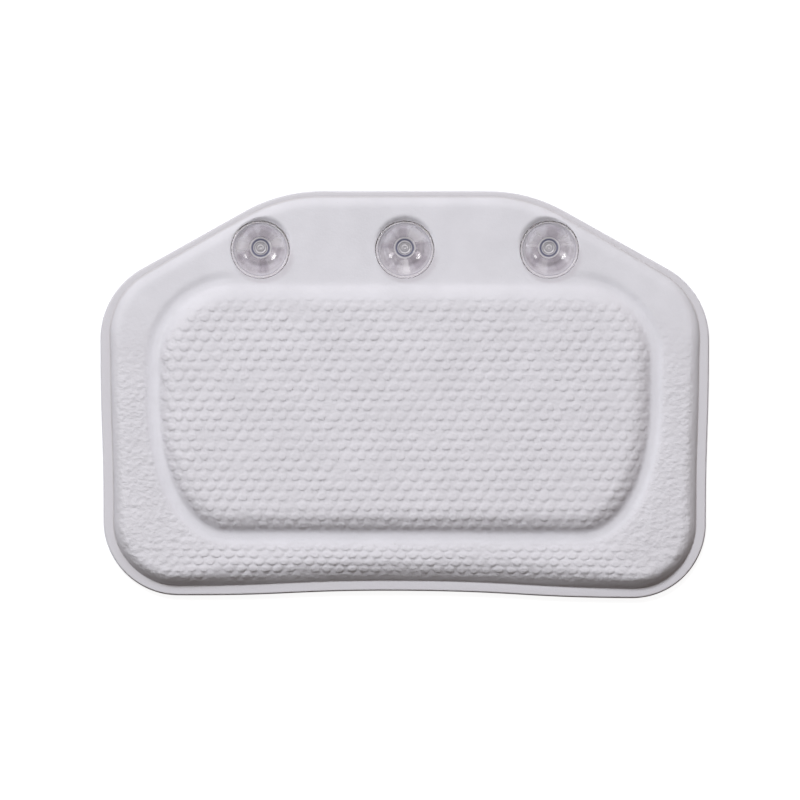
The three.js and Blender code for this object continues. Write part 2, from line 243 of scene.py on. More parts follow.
# Seeded unevenness. The patches are shares of the height of the dots.
PAD_PATCHES = {"size": (21.0, 15.0), "rise": 0.18, "seed": 11}
PAD_PATCH_LEVEL = 0.93
BORDER_PATCHES = {"size": (18.0, 9.0), "rise": 0.3, "seed": 13}
BORDER_PATCH_LEVEL = 0.85
CREASES = {"size": (3.2, 2.8), "rise": 0.28, "seed": 17}
PAD_WAVE = {"size": (26.0, 20.0), "rise": 0.09, "seed": 18}
PAD_RIPPLE = {"size": (7.0, 6.0), "rise": 0.04, "seed": 19}
BACK_RIPPLE = {"size": (16.0, 12.0), "rise": 0.12, "seed": 61}
BACK_RIPPLE_REACH = (8.0, 24.0)

# Mesh spacing and limits.
FINE_STEP = 0.95
MIDDLE_STEP = 1.32
COARSE_STEP = 1.6
BACK_STEP = 2.4
UNDER_STEP = 4.0
CONTOUR_STEP = 1.6
LOWER_CONTOUR_STEP = 0.9
LOWER_CONTOUR_Y = -60.0
MEASURE_STEP = 2.0
SPOT_SEGMENTS = 64
CUP_SEGMENTS = 128
NOISE_TABLE = 256
CHUNK = 4000
ARC_POINTS = 40
CURVE_POINTS = 60
RESPACING_POINTS = 8000
CROWN_STEPS = 12
FILLET_STEPS = 5
OUTER_WALL_STEPS = 16
INNER_WALL_STEPS = 40
FLOOR_STEPS = 40
UNDER_SEGMENTS = 32
SHEET_SHARP = 55
CUP_SHARP = 60
SAME_POINT = 1e-6
SMALLEST_AREA = 1e-9
TOLERANCE = 1e-7
INSIDE = 1
INSIDE_WITHOUT_HOLES = 2

# Where the lattices of the sheets start: insets from the edge or the lip, and radii round the spots.
FRONT_CLEAR = 17.6
FRONT_START = 6.3
DOT_RING_SHARE = 0.06
DOT_LATTICE_SHARE = 0.3
FINE_ZONE = (-9.0, 7.5)
COARSE_ABOVE = 6.0
COARSE_OUTSIDE = 1.0
UNDER_CLEAR = 19.0
UNDER_START = 5.0
BACK_CLEAR = 17.2
BACK_START = 9.2
FOAM_CLEAR = 2.0
FOAM_START = 2.5

LEAN = math.radians(CUP_LEAN)
CUP_Y = HEIGHT / 2 - CUP_INSET
PAD_TOP = HEIGHT / 2 - CUP_PANEL_DEPTH
PAD_BOTTOM = BOTTOM_HOLLOW + LOWER_BORDER - HEIGHT / 2
BOWL_RADIUS = CUP_DIAMETER / 2 + BOWL_MARGIN
CUP_PLACES = {"left": -CUP_SPACING, "middle": 0.0, "right": CUP_SPACING}


def neck_reach(radius):
    return (SPOT_SKIN + FIT_GAP + radius * math.sin(LEAN)) / math.cos(LEAN)


BOSS_FOOT = neck_reach(BOSS_DIAMETER / 2)
HEAD_TOP = neck_reach(HEAD_DIAMETER / 2)
HEAD_REACH = (HEAD_TOP + HEAD_HEIGHT) * math.cos(LEAN) + HEAD_DIAMETER / 2 * math.sin(LEAN)
SPOT_HEIGHT = FLOOR_GAP + HEAD_REACH
HOLE_RADIUS = NECK_DIAMETER / 2 / math.cos(LEAN) + SPOT_SKIN * math.tan(LEAN) + FIT_GAP


def lerp(a, b, part):
    return a + (b - a) * part


def smoothstep(value, low, high):
    part = np.clip((value - low) / (high - low), 0, 1)
    return part * part * (3 - 2 * part)


def dome(part, power):
    """A rounded rise from 0 to 1, steepest at its foot."""
    return 1 - (1 - np.clip(part, 0, 1)) ** power


def soft_positive(value, blend):
    """The positive part of a value, with its corner rounded."""
    return (value + np.sqrt(value * value + blend * blend)) / 2


# Contours.
def arc_points(centre, radius, start, end):
    angles = np.linspace(start, end, ARC_POINTS)
    return np.column_stack([centre[0] + radius * np.cos(angles), centre[1] + radius * np.sin(angles)])


def bezier_points(a, b, c, d):
    t = np.linspace(0, 1, CURVE_POINTS)[:, None]
    a, b, c, d = (np.array(point, float) for point in (a, b, c, d))
    return (1 - t) ** 3 * a + 3 * (1 - t) ** 2 * t * b + 3 * (1 - t) * t ** 2 * c + t ** 3 * d


def closed_contour(right_half):
    """Mirrors a right half that runs from the bottom middle to the top middle."""
    half = np.vstack(right_half)
    keep = np.append(True, np.linalg.norm(np.diff(half, axis=0), axis=1) > SAME_POINT)
    half = half[keep]
    return np.vstack([half, half[-2:0:-1] * (-1, 1)])


def respaced(contour, step_at):
    """The contour with points spaced by step_at, a function of their height."""
    closed = np.vstack([contour, contour[:1]])
    length = np.append(0, np.cumsum(np.linalg.norm(np.diff(closed, axis=0), axis=1)))
    fine = np.linspace(0, length[-1], RESPACING_POINTS)
    fine_y = np.interp(fine, length, closed[:, 1])
    counted = np.append(0, np.cumsum(np.diff(fine) / step_at(fine_y[:-1])))
    count = round(counted[-1])
    at = np.interp(np.arange(count) / count * counted[-1], counted, fine)
    return np.column_stack([np.interp(at, length, closed[:, 0]), np.interp(at, length, closed[:, 1])])


def outline_contour():
    half, top = WIDTH / 2, HEIGHT / 2
    lower_half = half - WAIST_STEP
    lowest = lower_half - LOWER_CORNER_RADIUS
    corner_height = LOWER_CORNER_RADIUS - top
    normal = math.radians(90 - DIAGONAL_ANGLE)
    shoulder_x = half - SHOULDER_RADIUS
    bend_x = CUP_EDGE_FLAT / 2
    across = (bend_x - shoulder_x) * math.cos(normal) + CUP_EDGE_RADIUS - SHOULDER_RADIUS
    shoulder_y = top - CUP_EDGE_RADIUS + across / math.sin(normal)
    side_middle = (corner_height + shoulder_y) / 2
    hollow = BOTTOM_HOLLOW - top
    return closed_contour([
        bezier_points((0, hollow), (lowest / 2, hollow), (lowest / 2, -top), (lowest, -top)),
        arc_points((lowest, corner_height), LOWER_CORNER_RADIUS, -math.pi / 2, 0),
        bezier_points(
            (lower_half, corner_height), (lower_half, side_middle), (half, side_middle), (half, shoulder_y)
        ),
        arc_points((shoulder_x, shoulder_y), SHOULDER_RADIUS, 0, normal),
        arc_points((bend_x, top - CUP_EDGE_RADIUS), CUP_EDGE_RADIUS, normal, math.pi / 2),
        [(0, top)],
    ])


def pad_contour():
    half = WIDTH / 2 - SIDE_BORDER
    sweep_top = min(PAD_BOTTOM + PAD_SWEEP_HEIGHT, PAD_TOP - PAD_UPPER_RADIUS)
    flat = half - PAD_SWEEP_WIDTH
    return closed_contour([
        [(0, PAD_BOTTOM)],
        bezier_points(
            (flat, PAD_BOTTOM),
            (lerp(flat, half, PAD_SWEEP_EASE[0]), PAD_BOTTOM),
            (half, lerp(sweep_top, PAD_BOTTOM, PAD_SWEEP_EASE[1])),
            (half, sweep_top),
        ),
        arc_points((half - PAD_UPPER_RADIUS, PAD_TOP - PAD_UPPER_RADIUS), PAD_UPPER_RADIUS, 0, math.pi / 2),
        [(0, PAD_TOP)],
    ])


def even(step):
    return lambda y: np.full_like(y, step)


def edge_step(y):
    return np.where(y < LOWER_CONTOUR_Y, LOWER_CONTOUR_STEP, CONTOUR_STEP)


OUTLINE = outline_contour()
EDGE = respaced(OUTLINE, edge_step)
OUTLINE_MEASURE = respaced(OUTLINE, even(MEASURE_STEP))
PAD_MEASURE = respaced(pad_contour(), even(MEASURE_STEP))


def signed_distance(contour, points):
    """Distance of each point from a closed contour, negative inside it."""
    start = contour
    run = np.roll(contour, -1, axis=0) - start
    end_y = start[:, 1] + run[:, 1]
    squared = (run * run).sum(1)
    tilt = run[:, 0] / np.where(run[:, 1] == 0, 1, run[:, 1])
    found = np.empty(len(points))
    for first in range(0, len(points), CHUNK):
        part = points[first:first + CHUNK]
        x = part[:, 0, None] - start[:, 0]
        y = part[:, 1, None] - start[:, 1]
        along = np.clip((x * run[:, 0] + y * run[:, 1]) / squared, 0, 1)
        gap = (x - along * run[:, 0]) ** 2 + (y - along * run[:, 1]) ** 2
        crosses = (start[:, 1] > part[:, 1, None]) != (end_y > part[:, 1, None])
        inside = (crosses & (x < y * tilt)).sum(1) % 2 == 1
        nearest = np.sqrt(gap.min(1))
        found[first:first + CHUNK] = np.where(inside, -nearest, nearest)
    return found


def inset_of(points):
    return -signed_distance(OUTLINE_MEASURE, points)


def measured(points):
    """How far each point is inside the outline and outside the pad."""
    return inset_of(points), signed_distance(PAD_MEASURE, points)


def inward(contour):
    ahead = np.roll(contour, -1, axis=0) - np.roll(contour, 1, axis=0)
    normal = np.column_stack([-ahead[:, 1], ahead[:, 0]])
    return normal / np.linalg.norm(normal, axis=1)[:, None]


def inset_loop(contour, widths):
    return contour + inward(contour) * np.broadcast_to(widths, len(contour))[:, None]


# Sizes that grow from the cup edge to the lower edge.
def share(y):
    return np.clip((HEIGHT / 2 - y) / HEIGHT, 0, 1)


def lip_width(y):
    return lerp(CUP_EDGE_LIP_WIDTH, LIP_WIDTH, smoothstep(share(y), *LIP_TAPER))


def border_run(points):
    """Longest along the middle of the lower edge."""
    low = smoothstep(share(points[:, 1]), *BORDER_TAPER)
    corner = smoothstep(np.abs(points[:, 0]), *ROLL_RUN_REACH)
    return lerp(PANEL_RUN, lerp(ROLL_RUN, CORNER_RUN, corner), low)


def pad_run(y):
    return lerp(PAD_UPPER_RUN, PAD_LOWER_RUN, smoothstep(share(y), *PAD_TAPER))


def fall(outside, run):
    """One at the pad's contour, easing to nothing at a run outside it."""
    return np.cos(np.clip(outside / run, 0, 1) * math.pi / 2) ** 2


def groove_depth(points, outside):
    """A gentle fall of the roll towards the pad, with a steeper groove at its end.

    It starts shallow at the pad's upper corners and is at its deepest along the sides.
    """
    part = share(points[:, 1])
    steep = GROOVE_DEPTH * (1 - GROOVE_EASE_PART * smoothstep(part, *GROOVE_EASE))
    along = smoothstep(part, *GROOVE_TAPER)
    corner = CORNER_GROOVE * smoothstep(np.abs(points[:, 0]), *CORNER_GROOVE_REACH)
    groove = steep * fall(outside, GROOVE_RUN) * np.maximum(along, corner)
    return groove + ROLL_FALL * fall(outside, ROLL_FALL_RUN) * along


def crest_height(y):
    return WELD_HEIGHT + LIP_SKIN + lerp(PANEL_RISE, ROLL_RISE, share(y) ** ROLL_GROWTH)


def pad_height(y):
    lower = crest_height(PAD_BOTTOM) + PAD_LOWER_RISE
    upper = crest_height(PAD_TOP) + PAD_UPPER_RISE
    return lerp(lower, upper, (y - PAD_BOTTOM) / (PAD_TOP - PAD_BOTTOM))


def spot_distance(points, x):
    return np.hypot(points[:, 0] - x, points[:, 1] - CUP_Y)


def moulded_height(points, inset, outside):
    """The front without its dimples and its emboss."""
    y = points[:, 1]
    rise = soft_positive(inset - lip_width(y), LIP_FOOT_BLEND)
    border = dome(rise / border_run(points), BORDER_POWER)
    base = lerp(WELD_HEIGHT + LIP_SKIN, crest_height(y), border) - groove_depth(points, outside)
    climb = soft_positive(-outside - GROOVE_FLOOR, PAD_FOOT_BLEND)
    return lerp(base, pad_height(y), dome(climb / pad_run(y), PAD_POWER))


def bowl_climb(radius):
    """Rise of a dimple's side, from 0 on its level floor to 1 at its brim and more beyond it."""
    flat = lerp(SPOT_RADIUS, BOWL_RADIUS, BOWL_FLAT)
    return np.maximum(0, (radius - flat) / (BOWL_RADIUS - flat))


def panel_height(x):
    place = np.array([[x, CUP_Y]])
    return moulded_height(place, *measured(place))[0]


def dimpled_height(points, inset, outside):
    """The front with its dimples, whose brims are rounded."""
    height = moulded_height(points, inset, outside)
    floor = SPOT_HEIGHT + SPOT_SKIN
    for x in CUP_PLACES.values():
        away = spot_distance(points, x)
        climb = smoothstep(away, *BOWL_WALL)
        moat = floor - BOWL_MOAT * smoothstep(away, *BOWL_MOAT_START)
        bowl = np.where(climb < 1, lerp(moat, panel_height(x), climb), height + BOWL_CLEAR)
        height = bowl - soft_positive(bowl - height, BOWL_BLEND)
    return np.maximum(height, WELD_HEIGHT + LIP_SKIN)


def front_under(points):
    """The inner side of the front sheet."""
    inset, outside = measured(points)
    skin = np.full(len(points), FRONT_SKIN)
    for x in CUP_PLACES.values():
        climb = np.minimum(bowl_climb(spot_distance(points, x)), 1)
        skin = np.minimum(skin, lerp(SPOT_SKIN, FRONT_SKIN, climb))
    shifted = np.minimum(inset - UNDER_SHIFT, lip_width(points[:, 1]) + border_run(points))
    height = dimpled_height(points, np.where(shifted > 0, shifted, 0), outside) - skin
    on_lip = inset < lip_width(points[:, 1]) + UNDER_SHIFT
    return np.where(on_lip, WELD_HEIGHT, np.maximum(WELD_HEIGHT, height))


def back_height(points, inset):
    edge = dome((inset - lip_width(points[:, 1])) / BACK_RUN, BACK_POWER)
    return (WELD_HEIGHT - BACK_SKIN) * (1 - edge)


def cone_height(points, x, top, top_radius):
    slope = math.tan(math.radians(CONE_SLOPE))
    return top - np.maximum(0, spot_distance(points, x) - top_radius) * slope


def back_under(points):
    """The outer side of the back sheet."""
    inset = inset_of(points)
    height = back_height(points, inset)
    uneven = BACK_RIPPLE["rise"] * smoothstep(inset, *BACK_RIPPLE_REACH)
    height = height + uneven * (1 + ripple(points, BACK_RIPPLE)) / 2
    for x in CUP_PLACES.values():
        cone = cone_height(points, x, SPOT_HEIGHT - SPOT_SKIN, SPOT_RADIUS)
        tail = CONE_BLEND ** 2 / 4 / (1 + np.abs(height - cone))
        height = height + soft_positive(cone - height, CONE_BLEND) - tail
    edge = LIP_EDGE_RADIUS - np.minimum(inset, LIP_EDGE_RADIUS)
    rounded = LIP_EDGE_RADIUS - np.sqrt(np.maximum(0, LIP_EDGE_RADIUS ** 2 - edge ** 2))
    return np.maximum(0, height) + rounded


def back_over(points):
    """The inner side of the back sheet."""
    height = back_height(points, inset_of(points)) + BACK_SKIN
    for x in CUP_PLACES.values():
        height = np.maximum(height, cone_height(points, x, SPOT_HEIGHT, SPOT_RADIUS + SPOT_SKIN))
    return height


# Seeded noise and the emboss.
def ripple(points, field):
    """Smooth random values from -1 to 1, on a lattice of the field's size and seed."""
    table = np.random.default_rng(field["seed"]).uniform(-1, 1, (NOISE_TABLE, NOISE_TABLE))
    u = points[:, 0] / field["size"][0] + NOISE_TABLE
    v = points[:, 1] / field["size"][1] + NOISE_TABLE
    i, j = np.floor(u).astype(int), np.floor(v).astype(int)
    fu, fv = u - i, v - j
    fu, fv = fu * fu * (3 - 2 * fu), fv * fv * (3 - 2 * fv)
    i, j = i % NOISE_TABLE, j % NOISE_TABLE
    i2, j2 = (i + 1) % NOISE_TABLE, (j + 1) % NOISE_TABLE
    low = lerp(table[i, j], table[i2, j], fu)
    high = lerp(table[i, j2], table[i2, j2], fu)
    return lerp(low, high, fv)


def dot_tables(field):
    """Seeded shifts, sizes, phases and strengths of the dots, looked up by row and column."""
    random = np.random.default_rng(field["seed"])
    shape = (NOISE_TABLE, NOISE_TABLE)
    return {
        "x": random.uniform(-DOT_JITTER, DOT_JITTER, shape),
        "y": random.uniform(-DOT_JITTER, DOT_JITTER, shape),
        "size": random.uniform(*DOT_SIZES, shape),
        "turn": random.uniform(0, 2 * math.pi, shape),
        "strength": random.uniform(*DOT_STRENGTHS, shape)
        * np.where(random.uniform(0, 1, shape) < FAINT_SHARE, FAINT_STRENGTH, 1),
    }


def dot_centre(field, tables, row, column):
    pick = (row % NOISE_TABLE, column % NOISE_TABLE)
    x = DOT_ORIGIN[0] + (column + (row % 2) / 2) * field["pitch"][0] + tables["x"][pick]
    y = DOT_ORIGIN[1] + row * field["pitch"][1] + tables["y"][pick]
    return pick, x, y


def dot_radius(tables, pick, angle):
    """Size of a dot in a direction, a little out of round."""
    turn = tables["turn"][pick]
    oval = DOT_OVAL * np.sin(2 * angle + turn)
    three_sided = DOT_THREE_SIDED * np.sin(3 * angle - 2 * turn)
    return tables["size"][pick] * (1 + oval + three_sided)


def dots(points, field):
    """Heights of offset rows of uneven dots with soft steep edges."""
    tables = dot_tables(field)
    row = np.round((points[:, 1] - DOT_ORIGIN[1]) / field["pitch"][1]).astype(int)
    height = np.zeros(len(points))
    moat = np.zeros(len(points))
    for row_step in (-1, 0, 1):
        at_row = row + row_step
        across = (points[:, 0] - DOT_ORIGIN[0]) / field["pitch"][0] - (at_row % 2) / 2
        column = np.round(across).astype(int)
        for column_step in (-1, 0, 1):
            pick, x, y = dot_centre(field, tables, at_row, column + column_step)
            u = (points[:, 0] - x) / field["half"][0]
            v = (points[:, 1] - y) / field["half"][1]
            reach = np.hypot(u, v) / dot_radius(tables, pick, np.arctan2(v, u))
            near = np.minimum(reach, 1)
            tilt = 1 - field["tilt"] * np.clip(v, -1, 1) - DOT_CROWN * near ** 2
            strength = tables["strength"][pick]
            height = np.maximum(height, strength * tilt * (1 - smoothstep(reach, *DOT_EDGE)))
            ring = np.clip(1 - np.abs(reach - MOAT_REACH) / MOAT_HALF, 0, 1)
            moat = np.maximum(moat, strength * ring * np.clip(MOAT_TOP - v, 0, 1))
    return field["rise"] * (height - DOT_MOAT * moat * (height < MOAT_CLEAR))


def dot_points(field, zone):
    """Mesh points on rings round each dot whose middle is in the zone."""
    tables = dot_tables(field)
    rows = np.arange(-DOT_ROWS, DOT_ROWS + 1)
    columns = np.arange(-DOT_COLUMNS, DOT_COLUMNS + 1)
    row, column = (grid.ravel() for grid in np.meshgrid(rows, columns))
    pick, x, y = dot_centre(field, tables, row, column)
    kept = zone(np.column_stack([x, y]))
    pick, x, y = (pick[0][kept], pick[1][kept]), x[kept], y[kept]
    rings = []
    for reach, count in DOT_RINGS:
        for angle in np.arange(count) / count * 2 * math.pi:
            size = reach * dot_radius(tables, pick, np.full(len(x), angle))
            ring_x = x + size * math.cos(angle) * field["half"][0]
            ring_y = y + size * math.sin(angle) * field["half"][1]
            rings.append(np.column_stack([ring_x, ring_y]))
    return np.vstack(rings)


def pad_dot_share(points, outside):
    """How strongly the pad's dots show. They fade in near the cup panel and start sharply elsewhere."""
    part = share(points[:, 1])
    upper = 1 - smoothstep(part, *PAD_DOT_FADE)
    upper = upper * (1 - PAD_DOT_RIGHT_PART * smoothstep(points[:, 0], *PAD_DOT_RIGHT))
    lower = smoothstep(part, *PAD_DOT_LOWER)
    start = lerp(*PAD_DOT_START, upper) + PAD_DOT_START_LOWER * lower
    fade = lerp(*PAD_DOT_RUN, upper) + PAD_DOT_RUN_LOWER * lower
    return smoothstep(-outside, start, start + fade)


def border_share(points, inset, outside):
    """One on the top of the border, nothing at its two feet."""
    lip = lip_width(points[:, 1])
    lip_side = smoothstep(inset, lip + BORDER_LIP_SIDE[0], lip + BORDER_LIP_SIDE[1])
    return lip_side * smoothstep(outside, *BORDER_PAD_SIDE)


def border_dot_share(points, inset, outside):
    low = smoothstep(-points[:, 1], *BORDER_DOT_LOW)
    middle = 1 - smoothstep(np.abs(points[:, 0]), *BORDER_DOT_SIDES)
    return border_share(points, inset, outside) * low * middle


def emboss(points, inset, outside):
    """Dots on the pad and the lower border, and soft unevenness."""
    on_pad = pad_dot_share(points, outside)
    on_border = border_dot_share(points, inset, outside)
    pad_patches = PAD_PATCH_LEVEL + PAD_PATCHES["rise"] * ripple(points, PAD_PATCHES)
    border_patches = BORDER_PATCH_LEVEL + BORDER_PATCHES["rise"] * ripple(points, BORDER_PATCHES)
    low = smoothstep(-points[:, 1], *CREASE_LOW) * border_share(points, inset, outside)
    creases = CREASES["rise"] * (low - CREASE_DOT_PART * on_border) * ripple(points, CREASES)
    wave = PAD_WAVE["rise"] * ripple(points, PAD_WAVE) + PAD_RIPPLE["rise"] * ripple(points, PAD_RIPPLE)
    return (
        on_pad * pad_patches * dots(points, PAD_DOTS)
        + on_border * border_patches * dots(points, BORDER_DOTS)
        + creases
        + wave * on_pad
    )


# Meshes.
def lattice(step):
    """Points of a triangle lattice over the whole pillow."""
    rows = np.arange(-HEIGHT / 2, HEIGHT / 2, step * math.sqrt(3) / 2)
    columns = np.arange(-WIDTH / 2, WIDTH / 2, step)
    x = columns[None, :] + (np.arange(len(rows)) % 2)[:, None] * step / 2
    y = np.broadcast_to(rows[:, None], x.shape)
    return np.column_stack([x.ravel(), y.ravel()])


def circle(x, radius, count):
    angles = np.linspace(0, 2 * math.pi, count, endpoint=False)
    return np.column_stack([x + radius * np.cos(angles), CUP_Y + radius * np.sin(angles)])


def spot_rings(radii, count):
    return np.vstack([circle(x, radius, count) for x in CUP_PLACES.values() for radius in radii])


def clear_of_spots(points, radius):
    keep = np.ones(len(points), bool)
    for x in CUP_PLACES.values():
        keep &= spot_distance(points, x) > radius
    return points[keep]


def loop_constraints(loops, inner):
    """Points for a triangulation, the loops' own first, and the edges that it has to keep."""
    points = np.vstack([*loops, inner])
    edges, base = [], 0
    for loop in loops:
        count = len(loop)
        edges += [(base + i, base + (i + 1) % count) for i in range(count)]
        base += count
    return [Vector(point) for point in points.tolist()], edges


def upward(points, corners):
    """Triangles turned to face up, without any that have no area."""
    a, b, c = (points[corners[:, k]] for k in range(3))
    area = (b[:, 0] - a[:, 0]) * (c[:, 1] - a[:, 1]) - (b[:, 1] - a[:, 1]) * (c[:, 0] - a[:, 0])
    corners[area < 0] = corners[area < 0][:, ::-1]
    return corners[np.abs(area) > SMALLEST_AREA]


def triangulate(loops, inner):
    """Triangles inside the first of the closed loops, along the edges of them all. Their points come first.

    The sheets' holes round the necks come out closed by flat triangles.
    """
    points = np.vstack([*loops, inner])
    result = delaunay_2d_cdt(*loop_constraints(loops, inner), [], INSIDE_WITHOUT_HOLES, TOLERANCE)
    origin = [ids[0] for ids in result[3]]
    corners = np.array([[origin[i] for i in face] for face in result[2]])
    return points, upward(points, corners)


def make_object(name, points, faces, sharp_angle):
    mesh = bpy.data.meshes.new(name)
    mesh.from_pydata((np.asarray(points) * MM).tolist(), [], faces)
    mesh.update()
    mesh.polygons.foreach_set("use_smooth", [True] * len(mesh.polygons))
    mesh.set_sharp_from_angle(angle=math.radians(sharp_angle))
    piece = bpy.data.objects.new(name, mesh)
    bpy.context.scene.collection.objects.link(piece)
    return piece


def skewed(points):
    """The lower edge isn't trimmed quite square: it hangs lower at the right."""
    low = smoothstep(-points[:, 1], *LOWER_EDGE_SKEW_REACH)
    points[:, 1] -= LOWER_EDGE_SKEW * low * points[:, 0] / (WIDTH / 2)
    return points


def sheet_piece(name, loops, over, over_height, under, under_height):
    """A closed sheet between two height fields that share their loops."""
    top_points, top_faces = triangulate(loops, over)
    low_points, low_faces = triangulate(loops, under)
    top = np.column_stack([top_points, over_height(top_points)])
    low = np.column_stack([low_points, under_height(low_points)])
    shift = len(top)
    faces = top_faces.tolist() + (low_faces[:, ::-1] + shift).tolist()
    base = 0
    for loop in loops:
        count = len(loop)
        for i in range(count):
            a, b = base + i, base + (i + 1) % count
            faces.append([a, a + shift, b + shift, b])
        base += count
    return make_object(name, skewed(np.vstack([top, low])), faces, SHEET_SHARP)


def hole_loops(radius):
    """Hole loops run the other way round, so that their walls face the hole."""
    return [circle(x, radius, SPOT_SEGMENTS)[::-1] for x in CUP_PLACES.values()]


def set_values(piece, name, values):
    attribute = piece.data.attributes.new(name, "FLOAT", "POINT")
    attribute.data.foreach_set("value", np.asarray(values, np.float32))


def on_dotted_pad(points):
    return pad_dot_share(points, measured(points)[1]) > DOT_RING_SHARE


def on_dotted_border(points):
    return border_dot_share(points, *measured(points)) > DOT_RING_SHARE


def front_points():
    """Points of the outer side: rings along the lip and round the dots, and lattices between them."""
    lip = lip_width(EDGE[:, 1])
    rings = [inset_loop(EDGE, width) for width in (0.57, 0.7, 0.95, 1.4, 2.0)]
    climbing = (-0.45, -0.15, 0.12, 0.38, 0.7, 1.1, 1.6, 2.2, 2.9, 3.7, 4.6, 5.6)
    rings += [inset_loop(EDGE, lip + width) for width in climbing]
    spots = spot_rings(np.append((4.2, 5.0, 6.0), np.arange(7.0, 17.1, 0.8)), SPOT_SEGMENTS)
    inner = [np.vstack(rings), spots]
    inner.append(dot_points(PAD_DOTS, on_dotted_pad))
    inner.append(dot_points(BORDER_DOTS, on_dotted_border))
    for step, zone in ((FINE_STEP, "fine"), (MIDDLE_STEP, "middle"), (COARSE_STEP, "coarse")):
        points = clear_of_spots(lattice(step), FRONT_CLEAR)
        inset, outside = measured(points)
        dotted = pad_dot_share(points, outside) > DOT_LATTICE_SHARE
        dotted |= border_dot_share(points, inset, outside) > DOT_LATTICE_SHARE
        fine = (outside > FINE_ZONE[0]) & (outside < FINE_ZONE[1])
        coarse = (points[:, 1] > PAD_TOP - COARSE_ABOVE) & (outside > COARSE_OUTSIDE)
        chosen = {"fine": fine & ~coarse, "middle": ~fine & ~coarse, "coarse": coarse}[zone]
        inner.append(points[chosen & ~dotted & (inset > lip_width(points[:, 1]) + FRONT_START)])
    return np.vstack(inner)


def lip_rounding(inset):
    """How far the trimmed edge of the front sheet is rounded down."""
    part = np.clip((inset - TRIM_STEP) / LIP_EDGE_RADIUS, 0, 1)
    return LIP_EDGE_RADIUS * (1 - np.sqrt(1 - (1 - part) ** 2))


def seam(points, inset):
    """The pressed line where the lip meets the border, 1 along its middle. It sets the line's depth and a
    painted shade along it.
    """
    return np.exp(-((inset - lip_width(points[:, 1]) - SEAM_OFFSET) / SEAM_HALF) ** 2)


def front_over(points):
    inset, outside = measured(points)
    height = dimpled_height(points, inset, outside) + emboss(points, inset, outside)
    return height - lip_rounding(inset) - SEAM_DEPTH * seam(points, inset)


def make_front():
    trim = inset_loop(EDGE, TRIM_STEP)
    loops = [trim, *hole_loops(HOLE_RADIUS)]
    under = clear_of_spots(lattice(UNDER_STEP), UNDER_CLEAR)
    under = under[inset_of(under) > lip_width(under[:, 1]) + UNDER_START]
    lip = lip_width(EDGE[:, 1])[::2]
    rings = [inset_loop(EDGE[::2], lip + width) for width in (0.9, 1.2, 2.2, 3.5)]
    under = np.vstack([under, *rings, spot_rings((7.5, 9.0, 12.0, 15.0, 17.5), UNDER_SEGMENTS)])
    piece = sheet_piece("pillow_front", loops, front_points(), front_over, under, front_under)
    flat = np.empty(len(piece.data.vertices) * 3)
    piece.data.vertices.foreach_get("co", flat)
    points = flat.reshape(-1, 3)[:, :2] / MM
    inset, outside = measured(points)
    lip_at = lip_width(points[:, 1])
    set_values(piece, "lip", 1 - smoothstep(inset, lip_at + LIP_TINT_EDGE[0], lip_at + LIP_TINT_EDGE[1]))
    # The seam value paints shade into the pressed line.
    set_values(piece, "seam", SEAM_PAINTED_SHADE * seam(points, inset))
    # The grain value sets the grain's strength and a painted shade over the embossed pad and border.
    on_border = smoothstep(share(points[:, 1]), *GRAIN_START) * border_share(points, inset, outside)
    on_border *= 1 - GRAIN_DOT_PART * border_dot_share(points, inset, outside)
    set_values(piece, "grain", np.maximum(on_border, PAD_GRAIN * pad_dot_share(points, outside)))
    return piece


def make_back():
    loops = [EDGE, *hole_loops(HOLE_RADIUS)]
    rings = [inset_loop(EDGE, width) for width in (0.1, 0.25, 0.5, 1.2, 2.4, 3.8, 5.6, 7.6)]
    spots = spot_rings((5.0, 6.4, 7.4, 8.2, 9.2, 10.4, 11.8, 13.2, 14.6, 16.0), SPOT_SEGMENTS)
    outer = clear_of_spots(lattice(BACK_STEP), BACK_CLEAR)
    outer = outer[inset_of(outer) > BACK_START]
    inner = clear_of_spots(lattice(UNDER_STEP), UNDER_CLEAR)
    inner = inner[inset_of(inner) > BACK_START]
    inner_rings = [inset_loop(EDGE, width) for width in (0.5, 2.4, 5.6)]
    inner_spots = spot_rings((7.0, 8.7, 12.0, 16.0), UNDER_SEGMENTS)
    return sheet_piece(
        "pillow_back",
        loops,
        np.vstack([inner, *inner_rings, inner_spots]),
        back_over,
        np.vstack([outer, *rings, spots]),
        back_under,
    )


def make_foam():
    """One triangulation for both sides, cut back where a cup's cut-out runs into the edge."""
    edge = inset_loop(EDGE[::2], lip_width(EDGE[::2, 1]) + FOAM_INSET)
    cut = BOWL_RADIUS + CORE_CUT_MARGIN
    loops = [edge, *hole_loops(cut)]
    inner = clear_of_spots(lattice(UNDER_STEP), cut + FOAM_CLEAR)
    inner = inner[inset_of(inner) > lip_width(inner[:, 1]) + FOAM_INSET + FOAM_START]
    result = delaunay_2d_cdt(*loop_constraints(loops, inner), [], INSIDE, TOLERANCE)
    points = np.array([tuple(point) for point in result[0]])
    corners = upward(points, np.array(result[2]))
    middle = points[corners].mean(axis=1)
    kept = signed_distance(edge, middle) < 0
    for x in CUP_PLACES.values():
        kept &= spot_distance(middle, x) > cut * CORE_CUT_SLACK
    corners = corners[kept]
    used, corners = np.unique(corners, return_inverse=True)
    points, corners = points[used], corners.reshape(-1, 3)
    top = np.column_stack([points, front_under(points) - CORE_GAP])
    low = np.column_stack([points, back_over(points) + CORE_GAP])
    shift = len(points)
    faces = corners.tolist() + (corners[:, ::-1] + shift).tolist()
    sides = {(face[k], face[(k + 1) % 3]) for face in corners.tolist() for k in range(3)}
    faces += [[a, a + shift, b + shift, b] for a, b in sorted(sides) if (b, a) not in sides]
    return make_object("foam_filling", skewed(np.vstack([top, low])), faces, SHEET_SHARP)


